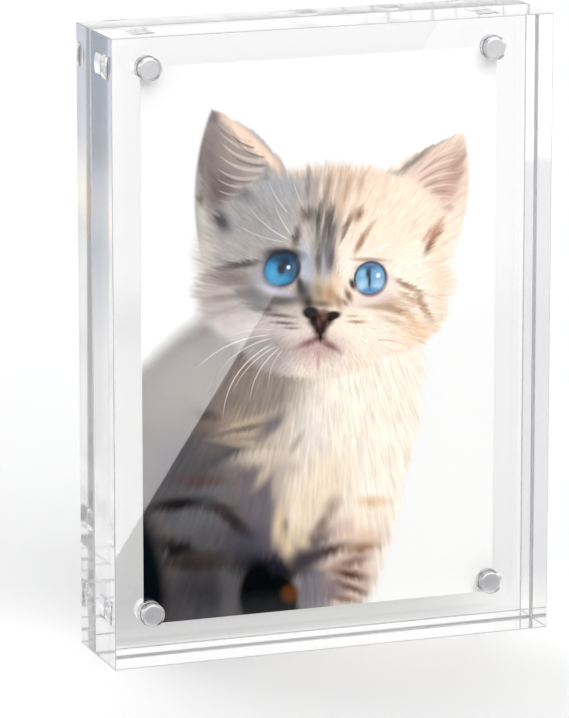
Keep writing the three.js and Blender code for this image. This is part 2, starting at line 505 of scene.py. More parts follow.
# The picture on the print is painted from soft spots, curved edges and single hairs.
# Places and sizes are in millimetres from the middle of the sheet, x to the right and up.
# A spot is its colour, centre, half width and half height, turn in degrees, softness and strength.
picture = {
    "white": (253, 253, 253),
    "shadedCoat": (168, 160, 158),
    "litCoat": (250, 228, 208),
    "shadedBody": (96, 88, 88),
    "litBody": (254, 242, 228),
    "bodyLight": (-22, 8),      # across the sheet, where the shaded side turns to the lit side
    "headLight": (-18, 12),
    # A comb is its centre, how many hairs lie around it, how short they are, their reach and their seed.
    "bodyComb": ((2, 42), 70, 9, 6.0, 3.0),
    "headComb": ((1, 8), 34, 7, 5.0, 0.0),
    "faceComb": ((1, 10), 60, 12, 2.0, 7.0),
    "headShape": [((1.5, 24), (37, 23)), ((1.5, 14), (37.5, 20)), ((20, 6), (17, 13)), ((0, 2), (24, 14))],
    "bodyShape": [((-30, -48), (44, 66), -30), ((5.4, -24), (23.6, 28), -6),
                  ((12, -12), (18.4, 16), 0), ((6.6, -48), (16.6, 40), -13), ((-28, -66), (44, 30), 0)],
    "body": [
        ((128, 116, 112), (-34, -12), (18, 12), 30, 0.7, 0.8),    # shoulder
        ((150, 138, 128), (-13, -13), (13, 9), 10, 0.7, 0.85),    # under the chin
        ((82, 80, 84), (-38, -34), (18, 12), 0, 0.6, 0.8),        # flank
        ((120, 100, 92), (-31, -22), (6, 2.2), 4, 0.8, 0.6),
        ((168, 150, 132), (-20, -24), (9, 4.6), -12, 0.7, 0.85),
        ((110, 100, 98), (-30, -27.6), (5, 3), 20, 0.8, 0.7),
        ((196, 184, 172), (-9, -24), (4, 5), -40, 0.8, 0.8),
        ((222, 206, 190), (-15, -32), (9, 2.6), 8, 0.8, 0.9),     # light tuft
        ((124, 114, 114), (-24, -39), (8, 5), 0, 0.7, 0.8),
        ((218, 204, 192), (-8, -40), (5, 9), -6, 0.8, 0.85),
        ((208, 194, 182), (-11, -30), (6, 8), -20, 0.8, 0.8),
        ((98, 98, 104), (-35, -48.6), (9, 3.4), -6, 0.7, 0.9),
        ((82, 82, 88), (-33, -54), (8, 3.4), 0, 0.8, 0.8),
        ((22, 18, 20), (-40.5, -56.6), (6.4, 2.6), -24, 0.8, 0.97),
        ((66, 50, 44), (-30, -59.4), (9, 2.2), -4, 0.7, 0.85),
        ((112, 100, 106), (-18, -43), (7, 6), 0, 0.8, 0.85),      # belly
        ((112, 106, 114), (-15, -51), (5.4, 8), 0, 0.8, 0.9),
        ((72, 70, 82), (-21.5, -56), (6, 5), 0, 0.8, 0.85),
        ((54, 54, 66), (-18, -61), (9, 3), -10, 0.8, 0.85),
        ((253, 242, 228), (10, -26), (15, 22), 0, 0.6, 0.9),      # chest
        ((236, 226, 218), (-2, -30), (5, 12), -4, 0.8, 0.8),
        ((226, 214, 204), (-6, -33), (2.2, 6), -14, 0.9, 0.8),
        ((148, 132, 124), (-8.4, -37), (2.6, 2.4), -30, 0.9, 0.8),
        ((240, 224, 206), (-4, -42), (6.4, 8), -8, 0.8, 0.9),
        ((240, 222, 200), (-5, -50), (5.6, 7.5), -14, 0.8, 0.9),
        ((244, 224, 200), (4, -41), (6, 8), 0, 0.8, 0.8),
        ((176, 150, 136), (3.4, -48.6), (3.4, 2.0), 66, 0.9, 0.9),
        ((248, 230, 210), (12, -53), (8, 4), 0, 0.6, 0.9),
        ((214, 184, 172), (6, -55), (4, 3), 20, 0.8, 0.85),
        ((226, 194, 172), (13, -58), (6, 2.4), 0, 0.8, 0.85),
        ((104, 92, 92), (-1.6, -57.6), (5, 2.4), 30, 0.8, 0.9),
    ],
    "legs": [
        ((118, 112, 124), (-1.0, -69), (5.4, 9), 0, 0.5, 0.95),
        ((204, 178, 164), (9, -69), (7, 8), 0, 0.5, 0.95),
        ((126, 110, 118), (4, -71), (3.4, 3), 0, 0.8, 0.85),
        ((64, 62, 66), (-34, -72), (10.4, 13), 0, 0.3, 0.95),
        ((88, 86, 90), (-26.6, -69), (3.0, 8), 0, 0.6, 0.9),
        ((52, 52, 56), (-33, -70), (4.5, 4), 0, 0.8, 0.85),
        ((24, 24, 34), (-14, -64), (10, 3.2), -8, 0.6, 0.9),
    ],
    "tufts": [
        ((66, 58, 58), (-34, -19), (5, 1.4), -20, 0.8, 0.7),
        ((190, 170, 150), (-21, -22.4), (7, 0.9), 14, 0.9, 0.7),
        ((188, 168, 148), (-20, -25.8), (8, 0.9), 2, 0.9, 0.7),
        ((184, 166, 148), (-20, -28.6), (8, 1.0), -10, 0.9, 0.7),
        ((110, 96, 90), (-22, -24.2), (6, 0.7), 8, 0.9, 0.7),
        ((104, 100, 106), (-14, -24), (4.6, 1.8), 38, 0.8, 0.85),
        ((206, 190, 170), (-15.5, -36.5), (1.4, 4.6), -36, 0.9, 0.8),
        ((198, 180, 164), (-12.5, -40), (1.1, 3.6), -10, 0.9, 0.7),
        ((90, 70, 68), (-34, -37.6), (7, 1.6), -8, 0.8, 0.8),
        ((100, 102, 106), (-33, -41.4), (7, 1.8), 4, 0.8, 0.8),
        ((24, 20, 20), (-41, -43.4), (7.4, 1.7), 3, 0.8, 0.95),
        ((46, 38, 38), (-25.6, -49), (6.4, 1.7), -44, 0.8, 0.9),
        ((60, 52, 52), (-30, -45.5), (5, 1.2), -10, 0.8, 0.7),
        ((40, 36, 40), (-38, -60.6), (6, 1.6), -8, 0.8, 0.8),
        ((170, 156, 146), (-7, -29.5), (0.9, 3.4), -34, 0.9, 0.7),
        ((222, 198, 168), (-12, -51.5), (1.5, 5), -8, 0.9, 0.9),
        ((120, 104, 98), (-10.1, -53), (0.8, 2.4), -4, 0.9, 0.85),
        ((224, 200, 168), (-9.6, -57.5), (1.8, 4.4), 14, 0.9, 0.9),
        ((230, 206, 176), (-5.6, -56), (1.6, 3.4), 30, 0.9, 0.85),
        ((140, 114, 104), (0.4, -53), (2.8, 1.5), 56, 0.9, 0.9),
        ((226, 192, 158), (15.4, -47.8), (4.4, 1.5), -6, 0.9, 0.85),
        ((78, 54, 46), (2.6, -60.4), (5.4, 1.5), 14, 0.9, 0.95),
        ((150, 110, 80), (12, -60.6), (5, 1.6), 2, 0.9, 0.9),
        ((214, 186, 170), (6, -64.4), (6, 1.6), 0, 0.8, 0.9),
        ((96, 62, 48), (8.6, -67.6), (4.6, 1.2), -16, 0.9, 0.97),
        ((106, 76, 70), (9.4, -71.6), (4.2, 0.9), -24, 0.9, 0.9),
        ((56, 50, 56), (-4.6, -62.4), (4.6, 2.6), 10, 0.8, 0.9),
        ((126, 98, 90), (9.4, -64.2), (5, 1.4), 10, 0.9, 0.8),
        ((120, 92, 88), (7, -74.4), (4, 0.9), -16, 0.9, 0.8),
        ((60, 50, 46), (-32, -61), (8, 1.8), -6, 0.8, 0.7),
    ],
    "dark": [
        ((4, 9, 12), (-18, -71.4), (5.4, 9.4), 2, 0.2, 1.0),      # gap between the legs
        ((4, 9, 12), (-12, -75.6), (5.4, 10.4), 0, 0.2, 1.0),
        ((96, 54, 22), (-8.7, -71.4), (2.4, 2.3), 0, 0.6, 0.9),
        ((5, 13, 20), (-54, -66), (9.8, 25), 6, 0.3, 1.0),        # dark corner
    ],
    "coat": [
        ((158, 155, 156), (-18, 36), (15, 11), 20, 0.7, 0.85),    # grey brow
        ((172, 172, 176), (-11, 42), (8, 4), 0, 0.8, 0.8),
        ((110, 104, 108), (-23.6, 41.4), (4.6, 1.8), -30, 0.8, 0.85),
        ((66, 60, 64), (-28.4, 33.4), (4.2, 1.9), -58, 0.8, 0.95),
        ((60, 52, 50), (-16.6, 46.2), (2.4, 1.0), -56, 0.9, 0.85),
        ((230, 210, 196), (0, 46.6), (12, 2.6), 0, 0.8, 0.9),
        ((234, 208, 186), (13, 40), (10, 7), -20, 0.7, 0.8),
        ((204, 176, 158), (6, 40), (4.4, 7), 10, 0.8, 0.8),
        ((168, 156, 150), (-1.5, 40), (3.6, 5), 0, 0.8, 0.75),
        ((132, 116, 108), (-3.6, 41.4), (0.7, 3.4), -4, 0.9, 0.7),
        ((150, 128, 112), (2, 40), (0.7, 4), -12, 0.9, 0.8),
        ((236, 216, 200), (0.2, 41), (0.5, 4), -8, 0.9, 0.8),
        ((236, 214, 196), (4.2, 41), (0.5, 4), -16, 0.9, 0.8),
        ((178, 144, 116), (7.6, 40), (0.7, 4.4), -20, 0.9, 0.8),
        ((184, 150, 124), (11.4, 40.5), (0.7, 3.4), -26, 0.9, 0.7),
        ((250, 226, 204), (24, 28), (10, 12), 0, 0.7, 0.8),
        ((254, 242, 226), (28, 12), (9, 10), 0, 0.7, 0.9),        # right cheek
        ((246, 218, 192), (34.6, 14), (3.0, 12), 4, 0.9, 0.8),
        ((172, 164, 162), (-27, 26), (10, 4), 0, 0.7, 0.8),
        ((206, 196, 190), (-35, 22), (4, 12), 0, 0.8, 0.9),       # left cheek
        ((170, 156, 152), (-30, 12), (8, 7), 0, 0.8, 0.85),
        ((118, 104, 98), (-25.4, 17.4), (5.6, 2.2), -8, 0.8, 0.9),
        ((128, 112, 108), (-26, 12.6), (7, 1.1), 8, 0.9, 0.8),
        ((182, 168, 162), (-24.6, 14.7), (6, 0.7), 2, 0.9, 0.7),
        ((134, 118, 116), (-27, 8.4), (6, 1.2), 8, 0.9, 0.8),
        ((182, 168, 166), (-25, 5), (7, 3), 10, 0.8, 0.85),
        ((78, 70, 68), (-22.6, 21.1), (6.4, 1.0), 5, 0.9, 0.97),
        ((92, 86, 88), (-19.4, 12.4), (4.4, 2.4), -30, 0.8, 0.95),
        ((86, 80, 82), (-12, 10.4), (7, 1.5), -2, 0.9, 0.95),
        ((80, 64, 64), (-17.0, 8.6), (3.6, 0.9), -12, 0.9, 0.95),
        ((242, 206, 172), (28, -0.5), (6, 3.0), -20, 0.9, 0.8),
        ((164, 124, 96), (24.4, 12.2), (5.6, 0.8), -26, 0.9, 0.95),   # line from the right eye
        ((182, 140, 108), (29.6, 6.4), (4.4, 1.0), -62, 0.9, 0.95),
        ((198, 160, 130), (20, 7.4), (6, 2.4), -14, 0.8, 0.75),
        ((160, 124, 98), (16.4, 6.6), (4.6, 0.8), -8, 0.9, 0.95),
        ((178, 140, 110), (21.4, 5.4), (4.0, 0.8), -18, 0.9, 0.95),
        ((190, 150, 118), (20, 2.8), (3.6, 0.7), -22, 0.9, 0.9),
        ((200, 160, 128), (25.6, 8.6), (3.6, 0.8), -34, 0.9, 0.85),
        ((226, 186, 150), (26.4, 2.6), (3.6, 0.8), -40, 0.9, 0.8),
        ((176, 116, 90), (33.4, 26), (1.3, 3.6), -26, 0.9, 0.95), # stripes below the right ear
        ((134, 84, 60), (31.6, 22.4), (0.9, 2.4), -30, 0.9, 0.95),
        ((190, 136, 108), (31.0, 25.6), (0.6, 2.4), -30, 0.9, 0.8),
    ],
    "forehead": [
        ((172, 180, 198), (-4.2, 20), (2.2, 6), 6, 0.8, 0.9),
        ((88, 78, 74), (-6.9, 27.6), (1.2, 2.8), -10, 0.9, 0.97),
        ((104, 92, 86), (-3.6, 33.4), (2.2, 2.0), -30, 0.9, 0.95),
        ((84, 74, 70), (1.6, 29.6), (4.0, 6.4), -8, 0.6, 0.9),
        ((58, 46, 42), (2.6, 29.4), (1.2, 5.0), -6, 0.9, 0.9),
        ((66, 56, 52), (-0.8, 31.6), (0.8, 3.4), -8, 0.9, 0.8),
        ((186, 174, 166), (0.7, 31.2), (0.35, 4.4), -10, 0.9, 0.85),
        ((170, 160, 154), (4.3, 33.0), (0.35, 3.4), -14, 0.9, 0.85),
        ((176, 170, 168), (-1.9, 27.6), (0.45, 4.4), -4, 0.9, 0.85),
        ((158, 150, 150), (1.4, 25.0), (0.35, 3.0), -8, 0.9, 0.8),
        ((96, 92, 96), (1.4, 21.6), (3.4, 5.0), -4, 0.8, 0.9),
        ((62, 58, 60), (3.2, 21.0), (0.8, 3.6), -6, 0.9, 0.85),
        ((70, 66, 70), (-0.6, 20.6), (0.7, 3.2), 2, 0.9, 0.8),
        ((168, 172, 184), (0.9, 18.8), (0.45, 3.4), 0, 0.9, 0.8),
        ((190, 172, 160), (4.6, 17.0), (1.1, 3.0), -12, 0.9, 0.85),
        ((246, 228, 212), (6.8, 25), (1.6, 5.4), -12, 0.8, 0.95),
        ((238, 214, 194), (9.6, 28), (1.2, 3.6), -26, 0.9, 0.85),
        ((124, 88, 60), (7.9, 30.4), (0.8, 2.8), -36, 0.9, 1.0),
        ((134, 98, 68), (11.2, 32.6), (1.0, 2.0), -26, 0.9, 1.0),
        ((110, 78, 54), (6.8, 27.4), (0.55, 2.2), -28, 0.9, 0.9),
        ((152, 114, 84), (11.6, 24.8), (0.9, 3.0), -32, 0.9, 1.0),
        ((190, 154, 124), (13.8, 28), (0.7, 2.6), -36, 0.9, 0.85),
        ((214, 178, 150), (5.8, 37), (0.7, 4.4), -12, 0.9, 0.85),
        ((244, 222, 200), (9.2, 37), (0.9, 4.4), -18, 0.9, 0.8),
        ((252, 240, 230), (16.5, 22.4), (3.6, 0.8), 14, 0.9, 0.85),
        ((252, 238, 226), (7.6, 18.4), (1.8, 3.6), -6, 0.9, 0.9),
    ],
    "muzzle": [
        ((236, 220, 212), (-6, 1.4), (5, 3.4), -10, 0.8, 0.85),
        ((64, 58, 58), (-5.0, 12.8), (2.3, 2.4), 10, 0.9, 0.95),    # dark side of the bridge
        ((52, 44, 38), (-3.4, 9.2), (1.9, 2.6), 20, 0.9, 1.0),
        ((150, 126, 98), (-0.4, 12.0), (1.8, 3.2), 14, 0.9, 0.9),
        ((182, 142, 98), (2.8, 11.2), (1.7, 3.0), 10, 0.9, 0.95),    # golden bridge
        ((92, 72, 54), (0.6, 8.6), (2.6, 0.9), -8, 0.9, 0.8),
        ((160, 116, 78), (5.4, 8.6), (1.0, 2.2), 20, 0.9, 0.9),
        ((238, 212, 178), (4.8, 14.6), (1.1, 2.4), 6, 0.9, 0.85),
        ((128, 92, 68), (8.2, 10.2), (0.8, 2.0), 24, 0.9, 1.0),
        ((112, 80, 60), (7.2, 8.4), (0.6, 1.2), 40, 0.9, 0.9),
        ((210, 196, 192), (-13, 3.6), (7, 2.6), 4, 0.8, 0.85),      # left whisker pad
        ((116, 98, 98), (-12.0, 6.4), (4.0, 0.5), -10, 0.9, 1.0),
        ((112, 94, 94), (-10.6, 4.2), (3.0, 0.42), -8, 0.9, 0.95),
        ((130, 110, 108), (-8.4, 2.6), (2.2, 0.36), -6, 0.9, 0.85),
        ((254, 240, 224), (12, 0), (9, 6), -10, 0.8, 0.95),         # right whisker pad
        ((186, 150, 120), (10.6, 2.9), (2.4, 0.45), -6, 0.9, 1.0),
        ((204, 168, 140), (9.4, 4.6), (1.8, 0.35), -6, 0.9, 0.8),
        ((240, 224, 214), (0, -9), (8, 4.6), 0, 0.8, 0.95),         # chin
        ((200, 168, 164), (-0.6, -3.6), (6.6, 3.2), 0, 0.9, 0.95),
        ((226, 200, 194), (-2.8, -7.0), (0.5, 2.6), -14, 0.9, 0.9),
        ((196, 160, 156), (-0.6, -7.0), (0.5, 2.8), -2, 0.9, 0.8),
        ((132, 94, 94), (-3.2, -1.7), (3.2, 0.9), 18, 0.9, 0.9),    # mouth
        ((128, 90, 90), (2.6, -2.9), (3.2, 0.9), -34, 0.9, 0.9),
        ((96, 62, 62), (0.0, -0.8), (1.6, 0.7), 0, 0.9, 0.9),
    ],
    "nose": [
        ((26, 20, 18), (-2.5, 6.3), (2.7, 1.7), -14, 0.3, 1.0),
        ((30, 22, 20), (3.0, 5.1), (3.0, 1.3), 6, 0.3, 1.0),
        ((44, 28, 26), (0.2, 4.3), (3.7, 2.5), 0, 0.3, 1.0),
        ((50, 32, 30), (0.0, 2.0), (2.1, 2.5), 0, 0.5, 1.0),
        ((146, 108, 90), (0.9, 6.5), (1.3, 0.8), 0, 0.9, 0.9),
        ((118, 80, 68), (1.0, 4.9), (0.8, 0.9), 0, 0.9, 0.85),
        ((106, 70, 60), (-0.4, 3.6), (0.5, 1.2), 14, 0.9, 0.85),
        ((112, 76, 66), (2.2, 3.0), (0.5, 1.0), -30, 0.9, 0.85),
        ((10, 6, 6), (-1.9, 4.7), (0.9, 0.7), -20, 0.6, 1.0),
        ((10, 6, 6), (2.9, 4.3), (0.8, 0.6), 30, 0.6, 1.0),
        ((40, 24, 24), (0.0, -0.2), (0.4, 1.6), 0, 0.8, 1.0),
    ],
    "leftEye": [
        ((168, 162, 176), (-17.4, 17.4), (1.3, 2.8), 20, 0.9, 0.7),    # pale fur around it
        ((194, 196, 218), (-12.8, 13.3), (3.8, 0.95), -18, 0.9, 0.9),
        ((40, 36, 40), (-5.9, 14.6), (0.9, 2.4), 14, 0.8, 0.95),
        ((30, 28, 32), (-10.4, 23.0), (5.6, 1.9), -8, 0.5, 0.97),       # upper lid
        ((104, 92, 102), (-11.4, 18.6), (5.3, 4.9), 0, 0.2, 0.9),
        ((8, 12, 20), (-10.8, 19.3), (5.3, 4.95), 0, 0.1, 1.0),         # dark rim
        ((26, 112, 160), (-11.5, 18.8), (4.45, 4.1), 0, 0.12, 1.0),     # iris
        ((62, 168, 214), (-13.6, 18.2), (1.6, 2.4), 10, 0.9, 0.9),
        ((34, 150, 196), (-11.2, 16.2), (2.8, 1.0), 0, 0.9, 0.9),
        ((12, 48, 84), (-10.6, 21.9), (3.8, 1.3), -8, 0.8, 0.95),
        ((14, 62, 104), (-8.2, 18.6), (1.0, 2.6), 0, 0.9, 0.8),
        ((6, 14, 30), (-11.2, 19.1), (1.15, 1.5), 0, 0.6, 1.0),         # pupil
        ((8, 20, 44), (-10.0, 20.6), (1.1, 1.2), 0, 0.8, 0.95),
        ((250, 253, 255), (-9.15, 19.4), (0.5, 0.5), 0, 0.5, 1.0),      # glint
    ],
    "rightEye": [
        ((244, 226, 222), (15.4, 9.0), (5.0, 1.2), 10, 0.9, 0.9),
        ((250, 232, 224), (20.6, 13.0), (1.4, 3.0), 16, 0.9, 0.9),
        ((170, 138, 126), (14.2, 19.8), (4.4, 0.6), -6, 0.8, 0.9),
        ((52, 38, 38), (9.3, 13.4), (0.8, 1.6), 24, 0.6, 1.0),
        ((150, 116, 120), (14.6, 14.4), (4.95, 4.9), 0, 0.1, 0.95),
        ((14, 18, 30), (14.35, 14.85), (4.7, 4.6), 0, 0.07, 1.0),       # dark rim
        ((112, 172, 214), (14.4, 14.6), (4.2, 4.1), 0, 0.1, 1.0),       # iris
        ((186, 222, 240), (12.0, 12.9), (1.1, 1.5), -30, 0.9, 0.95),
        ((176, 214, 238), (16.6, 12.7), (1.5, 1.1), 20, 0.9, 0.95),
        ((150, 200, 230), (12.2, 16.2), (0.9, 1.0), 0, 0.9, 0.8),
        ((48, 96, 150), (14.2, 17.9), (3.2, 0.8), 0, 0.9, 0.9),
        ((72, 132, 186), (14.3, 11.4), (2.6, 0.5), 0, 0.9, 0.8),
        ((8, 18, 34), (13.9, 16.2), (0.75, 1.4), -6, 0.7, 1.0),         # pupil
        ((10, 24, 46), (14.2, 14.0), (0.4, 2.0), 0, 0.8, 1.0),
        ((252, 254, 255), (16.7, 15.3), (0.6, 0.66), 0, 0.5, 1.0),      # glint
    ],
    "leftEar": [
        ((142, 130, 128), (-29, 48), (5.6, 14), 12, 0.6, 0.95),
        ((128, 112, 112), (-30.5, 50), (3.0, 8), 6, 0.8, 0.8),
        ((160, 144, 138), (-24, 51), (3.6, 6.5), 34, 0.8, 0.85),
        ((104, 86, 88), (-28.4, 41.5), (3.4, 4.5), 12, 0.8, 0.85),
        ((248, 218, 196), (-20.2, 54.8), (11.5, 1.7), -43, 0.6, 1.0),  # lit rim
        ((198, 196, 186), (-33.6, 35), (1.3, 4.0), 6, 0.8, 0.9),
        ((90, 88, 84), (-33.9, 39.6), (0.8, 1.8), 10, 0.9, 0.8),
        ((112, 108, 106), (-33.9, 52), (0.7, 9), 4, 0.8, 0.7),
        ((70, 64, 66), (-30.4, 62), (1.6, 1.6), 0, 0.9, 0.6),
    ],
    "rightEar": [
        ((216, 182, 166), (34, 42), (8, 9), -28, 0.6, 0.95),
        ((190, 148, 134), (39, 43), (2.4, 5.4), -14, 0.8, 0.9),
        ((196, 156, 142), (34.5, 37.4), (4.4, 2.4), -10, 0.8, 0.85),
        ((166, 106, 92), (33.6, 32.4), (3.6, 1.2), -4, 0.9, 0.95),
        ((238, 208, 188), (42.4, 42), (0.9, 9), -4, 0.8, 0.9),
        ((80, 74, 72), (20.2, 42.4), (3.6, 1.3), 14, 0.9, 0.97),
        ((116, 108, 104), (27, 46.2), (5.4, 0.9), 34, 0.8, 0.85),
        ((160, 142, 130), (35, 51.4), (6, 0.7), 24, 0.8, 0.85),
    ],
    # An edge of an ear is its start, end, bulge and softness, and the ear lies to its right.
    "leftEarEdges": [((-34.6, 28), (-31, 63.5), 2.6, 0.6), ((-31, 64), (-8, 44), 2.4, 0.5)],
    "rightEarEdges": [((16, 42.6), (41.5, 53), 1.0, 0.5), ((41.3, 53), (38.6, 20), 2.8, 0.6)],
    # A hair is its colour, start, end, bend, width and strength.
    "earHairs": [
        ((212, 194, 182), (-19, 54), (-30, 61), 1.0, 0.81, 0.5),
        ((222, 202, 190), (-17, 51), (-29.5, 58.5), 1.2, 0.81, 0.61),
        ((84, 70, 66), (-18.5, 52.5), (-26, 57.5), 0.8, 0.54, 0.58),
        ((226, 206, 194), (-15.5, 48.6), (-29, 55.5), 1.6, 0.94, 0.65),
        ((90, 74, 72), (-15.6, 49.8), (-24, 54.4), 0.8, 0.54, 0.58),
        ((222, 204, 194), (-15.5, 46.6), (-29.5, 52), 1.8, 0.94, 0.65),
        ((96, 80, 78), (-15.8, 47.6), (-26, 51.6), 1.0, 0.54, 0.5),
        ((214, 198, 190), (-17, 44.6), (-30, 48.5), 1.8, 0.94, 0.61),
        ((212, 198, 192), (-18.5, 42.8), (-30, 45.5), 1.6, 0.81, 0.58),
        ((92, 76, 78), (-19, 43.8), (-29, 47), 1.4, 0.54, 0.43),
        ((204, 192, 190), (-20, 41), (-30, 42.5), 1.4, 0.81, 0.54),
        ((196, 186, 186), (-21, 39), (-29.5, 39.5), 1.0, 0.68, 0.5),
        ((248, 222, 206), (27, 42), (40.5, 50), 1.2, 0.94, 0.61),
        ((176, 136, 120), (28, 42), (41, 48), 1.2, 0.68, 0.43),
        ((248, 220, 204), (26, 40), (41.5, 46), 1.6, 0.94, 0.65),
        ((172, 128, 112), (27, 39), (41.5, 44), 1.6, 0.68, 0.5),
        ((248, 220, 204), (26, 38), (41, 42), 1.6, 0.94, 0.65),
        ((164, 120, 104), (27, 37), (41, 40), 1.6, 0.68, 0.5),
        ((244, 214, 198), (26, 36), (40.5, 38.4), 1.6, 0.94, 0.65),
        ((158, 110, 94), (27.4, 35), (39.6, 36.6), 1.4, 0.68, 0.5),
        ((246, 216, 198), (27, 34), (39.4, 35), 1.4, 0.81, 0.65),
    ],
    "whiskers": [
        ((236, 232, 234), (-14, 1.2), (-38, -9), -3.0, 0.22, 0.9),
        ((236, 230, 230), (-14, 0.2), (-29, -7.5), -1.5, 0.24, 0.9),
        ((240, 226, 220), (-13.5, -1.2), (-28, -24), -4.6, 0.30, 0.95),
        ((236, 220, 214), (-12.5, -2), (-26, -15.5), -2.0, 0.26, 0.9),
        ((240, 224, 216), (-11.6, -2.6), (-20.3, -18.5), -2.4, 0.28, 0.9),
        ((226, 208, 196), (-10.6, -3), (-14.8, -14), -1.4, 0.24, 0.9),
        ((226, 220, 222), (-13, 2.5), (-30, 0.5), -1.2, 0.20, 0.8),
        ((224, 226, 230), (-9, 27), (-21, 37.5), 1.0, 0.3, 0.8),
        ((224, 226, 230), (-8, 28), (-13.5, 39), 0.8, 0.28, 0.8),
        ((216, 216, 220), (-10, 26.4), (-25, 33), 1.0, 0.28, 0.7),
        ((216, 220, 226), (-9, 34), (-15, 44), 0.6, 0.35, 0.7),
        ((204, 206, 212), (-5, 36), (-8, 44), 0.3, 0.35, 0.7),
        ((255, 250, 244), (17, -2), (25, -8), 0.6, 0.3, 0.9),
        ((255, 250, 244), (15, -4), (20, -10), 0.5, 0.3, 0.9),
        ((255, 250, 244), (12, -5.5), (15, -12), 0.5, 0.3, 0.9),
        ((214, 178, 150), (16, -2.6), (26, -5), 0.6, 0.3, 0.6),
    ],
}


def ink(red, green, blue):
    # A colour as a screen shows it, 0 to 255.
    return tuple(((c / 255 + 0.055) / 1.055) ** 2.4 for c in (red, green, blue))


def newGroup(name, colours, numbers):
    # A node group with a colour as its output, and its inputs as shades.
    tree = bpy.data.node_groups.new(name, "ShaderNodeTree")
    for socket in colours:
        tree.interface.new_socket(socket, in_out="INPUT", socket_type="NodeSocketColor")
    for socket in numbers:
        tree.interface.new_socket(socket, in_out="INPUT", socket_type="NodeSocketFloat")
    tree.interface.new_socket("Colour", in_out="OUTPUT", socket_type="NodeSocketColor")
    start = tree.nodes.new("NodeGroupInput")
    return tree, [Shade(tree, socket) for socket in start.outputs[:len(colours) + len(numbers)]]


def endGroup(tree, colour):
    end = tree.nodes.new("NodeGroupOutput")
    tree.links.new(colour.socket, end.inputs[0])


def spotGroup():
    # A soft ellipse. The row and column numbers turn a place into half widths from its centre.
    tree, (under, tint, across, up, *numbers) = newGroup("paint spot", ["Under", "Tint"], [
        "Across", "Up", "Row 1", "Column 1", "Shift 1", "Row 2", "Column 2", "Shift 2",
        "Outside", "Inside", "Amount"])
    row1, column1, shift1, row2, column2, shift2, outside, inside, amount = numbers
    along = up.maths("MULTIPLY_ADD", column1, across.maths("MULTIPLY_ADD", row1, shift1))
    left = up.maths("MULTIPLY_ADD", column2, across.maths("MULTIPLY_ADD", row2, shift2))
    away = along.maths("MULTIPLY_ADD", along, left * left).maths("SQRT")
    endGroup(tree, colourMix(step(away, outside, inside, amount), under, tint))


def painted(colour, at, spots):
    group = bpy.data.node_groups["paint spot"]
    for tint, (x, z), (width, height), turn, soft, amount in spots:
        cosine, sine = math.cos(math.radians(turn)), math.sin(math.radians(turn))
        colour = colour.node("ShaderNodeGroup", {"node_tree": group}, {
            "Under": colour, "Tint": (*ink(*tint), 1), "Across": at[0], "Up": at[1],
            "Row 1": cosine / width, "Column 1": sine / width,
            "Shift 1": -(x * cosine + z * sine) / width,
            "Row 2": -sine / height, "Column 2": cosine / height,
            "Shift 2": (x * sine - z * cosine) / height,
            "Outside": 1 + soft, "Inside": 1 - soft, "Amount": amount})
    return colour


def turned(across, up, centreAcross, centreUp, turn):
    # How far a place is from a centre, along a direction and to its left. turn is in radians.
    across = across - centreAcross
    up = up - centreUp
    if isinstance(turn, Shade):
        cosine, sine = turn.maths("COSINE"), turn.maths("SINE")
    else:
        cosine, sine = math.cos(turn), math.sin(turn)
    along = across.maths("MULTIPLY_ADD", cosine, up * sine)
    return along, up.maths("MULTIPLY_ADD", cosine, across * sine * -1)


def ellipse(at, centre, size, turn, soft):
    # A soft ellipse, from 0 outside to 1 inside. turn is in degrees.
    along, left = turned(*at, *centre, math.radians(turn))
    along = along / size[0]
    left = left / size[1]
    away = along.maths("MULTIPLY_ADD", along, left * left).maths("SQRT")
    return step(away, 1 + soft, 1 - soft)


def outline(at, shapes, soft):
    whole = None
    for centre, size, *turn in shapes:
        mask = ellipse(at, centre, size, turn[0] if turn else 0, soft)
        whole = whole.maths("MAXIMUM", mask) if whole else mask
    return whole


def besideEdge(at, start, end, bulge, soft):
    # 1 to the right of a curved edge that runs from start to end and bulges to its left.
    dx, dy = end[0] - start[0], end[1] - start[1]
    length = math.hypot(dx, dy)
    along, left = turned(*at, *start, math.atan2(dy, dx))
    along = along / length
    return step(along * (1 - along) * (4 * bulge) - left, -soft, soft)


def hairGroup():
    # A thin curved hair that fades out at its end.
    tree, (under, tint, *numbers) = newGroup("paint hair", ["Under", "Tint"], [
        "Across", "Up", "Start across", "Start up", "Turn", "Length", "Bend", "Width", "Amount"])
    across, up, startAcross, startUp, turn, length, bend, width, amount = numbers
    along, left = turned(across, up, startAcross, startUp, turn)
    along = along / length
    off = abs(left - along * (1 - along) * bend * 4)
    thin = step(off / ((1.15 - along) * width), 1.0, 0.3)
    ends = step(along, -0.02, 0.10) * step(along, 1.0, 0.75)
    endGroup(tree, colourMix(thin * ends * amount, under, tint))


def drawnHairs(colour, at, strokes):
    group = bpy.data.node_groups["paint hair"]
    for tint, start, end, bend, width, amount in strokes:
        dx, dy = end[0] - start[0], end[1] - start[1]
        colour = colour.node("ShaderNodeGroup", {"node_tree": group}, {
            "Under": colour, "Tint": (*ink(*tint), 1), "Across": at[0], "Up": at[1],
            "Start across": start[0], "Start up": start[1], "Turn": math.atan2(dy, dx),
            "Length": math.hypot(dx, dy), "Bend": bend, "Width": width, "Amount": amount})
    return colour


